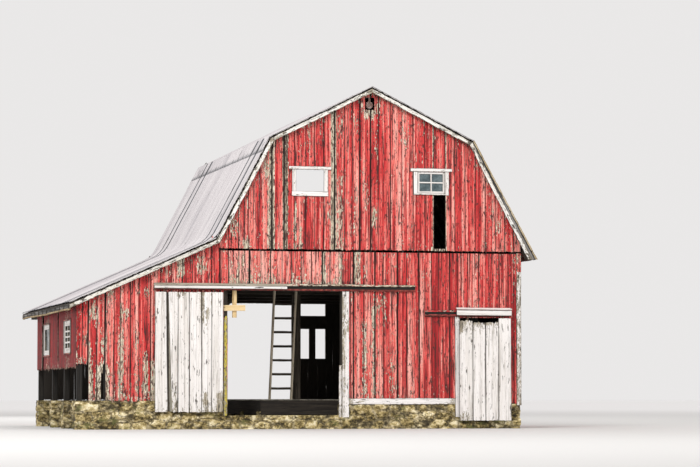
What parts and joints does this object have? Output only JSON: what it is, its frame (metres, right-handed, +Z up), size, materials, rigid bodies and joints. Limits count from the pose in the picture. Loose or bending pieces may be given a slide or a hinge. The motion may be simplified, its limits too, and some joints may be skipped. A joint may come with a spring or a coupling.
{
  "type": "weathered gambrel barn with a lean-to",
  "caption": "Old red timber barn with a gambrel roof flaring over a lean-to, stone footings, a hay loft and two white sliding doors.",
  "frame": {"origin": "middle of the whole barn's footprint, on the ground", "axes": "+Z up, -Y out of the front gable with the big doorway, +X to the right seen from the front"},
  "size_m": [10.59, 8.7, 7.63],
  "materials": {
    "stone": "rough rubble",
    "red_boards": "peeling red paint",
    "grey_timber": "weathered",
    "white_boards": "peeling white paint",
    "roof_metal": "weathered ribbed sheet",
    "iron": "rusty",
    "new_timber": "fresh sawn",
    "glass": "dusty"
  },
  "bodies": {
    "barn": {"corner_trim": "white_boards", "door_casings": "white_boards", "door_tracks": "iron", "floor_beams": "grey_timber", "floor_riser": "grey_timber", "front_corner_wall": "red_boards", "front_foundation": "stone", "front_gable_wall": "red_boards", "front_right_wall": "red_boards", "gable_sash": "white_boards", "gable_window_frames": "white_boards", "hay_pulley": "iron", "knee_braces": "grey_timber", "ladder": "grey_timber", "leanto_fascia": "white_boards", "leanto_front_wall": "red_boards", "leanto_posts": "grey_timber", "leanto_rafters": "grey_timber", "leanto_roof": "roof_metal", "leanto_side_wall": "red_boards", "loft_floor": "grey_timber", "loft_joists": "grey_timber", "main_posts": "grey_timber", "new_brace": "new_timber", "plank_floor": "grey_timber", "rake_trim": "white_boards", "rear_foundation": "stone", "rear_gable_wall": "red_boards", "rear_left_wall": "red_boards", "rear_right_wall": "red_boards", "rear_wall_over_doorway": "red_boards", "rear_window_frames": "white_boards", "ridge_board": "grey_timber", "right_foundation": "stone", "right_wall": "red_boards", "side_sashes": "white_boards", "side_window_frames": "white_boards", "sill_board": "white_boards", "steep_rafters": "grey_timber", "steep_roof_left": "roof_metal", "steep_roof_right": "roof_metal", "stone_piers": "stone", "tie_beams": "grey_timber", "track_covers": "white_boards", "upper_rafters": "grey_timber", "upper_roof_left": "roof_metal", "upper_roof_right": "roof_metal", "wall_plates": "grey_timber", "walls_over_doors": "red_boards", "window_glass": "glass"},
    "sliding_door": {"large_door": "white_boards", "large_door_hangers": "iron"},
    "small_door": {"small_door": "white_boards", "small_door_hangers": "iron"}
  },
  "joints": [
    {"name": "sliding_door_slide", "type": "slide", "parent": "barn", "child": "sliding_door", "axis": [1, 0, 0], "range_m": [0, 1.41]},
    {"name": "small_door_slide", "type": "slide", "parent": "barn", "child": "small_door", "axis": [-1, 0, 0], "range_m": [0, 0.7]}
  ]
}
